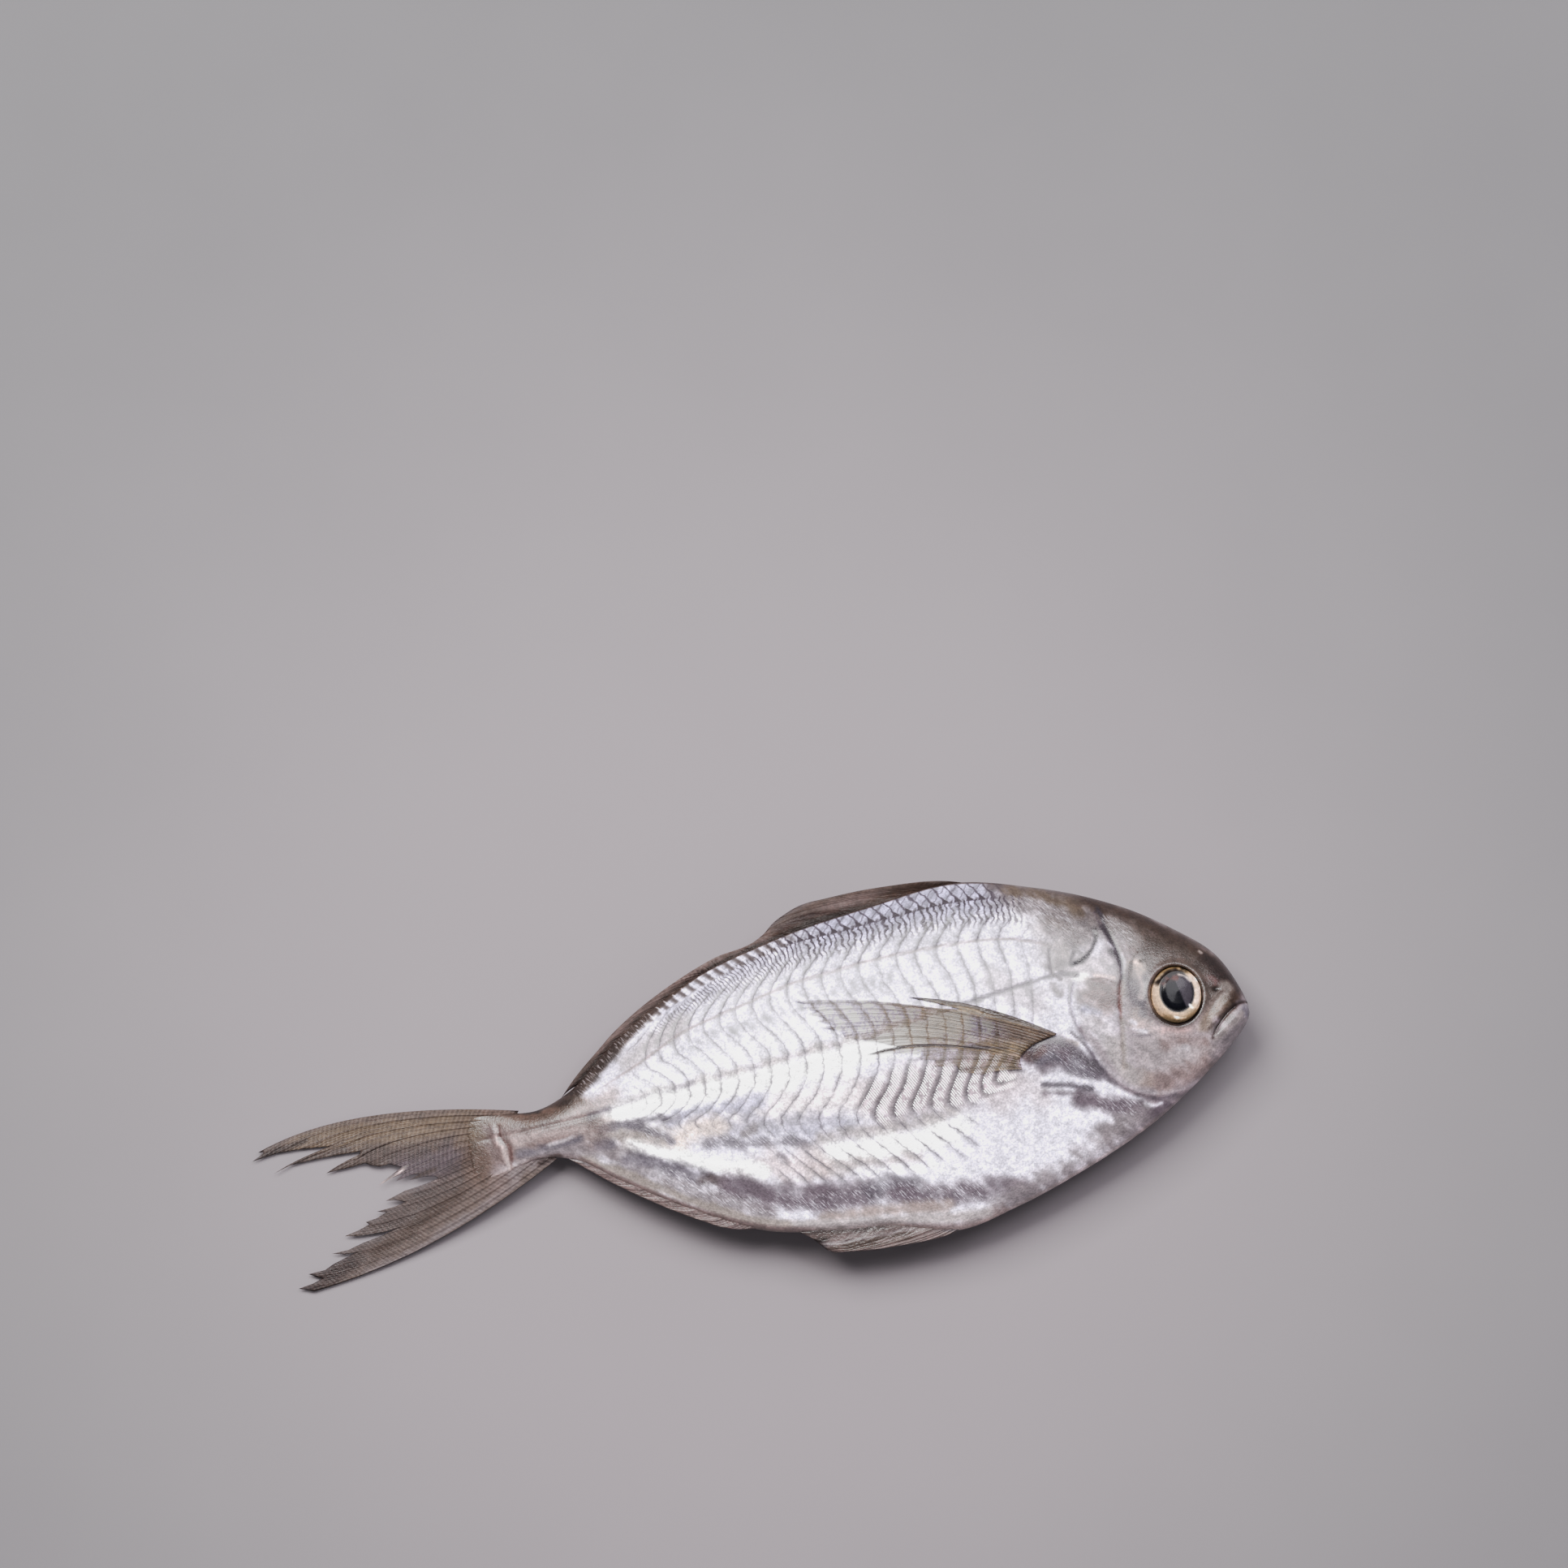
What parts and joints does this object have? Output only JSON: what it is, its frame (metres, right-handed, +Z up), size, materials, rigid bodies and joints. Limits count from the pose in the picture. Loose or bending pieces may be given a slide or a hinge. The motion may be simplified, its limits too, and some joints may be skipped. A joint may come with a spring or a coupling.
{
  "type": "whole raw butterfish",
  "caption": "Whole raw silver butterfish lying on its flank, with a deep flat body, folded back and belly fins, swept breast fins and a torn forked tail.",
  "frame": {"origin": "on the surface the fish lies on, under the middle of its length and depth", "axes": "+X towards the snout, +Y towards the fish's back, +Z up, out of its right flank"},
  "size_m": [0.2014, 0.0722, 0.0228],
  "materials": {
    "skin": "wet silver scaled skin, brown fins",
    "eye": "wet, gold ring around a black pupil"
  },
  "bodies": {
    "root": {"fish": "skin", "eye_right": "eye", "eye_left": "eye"}
  },
  "joints": []
}
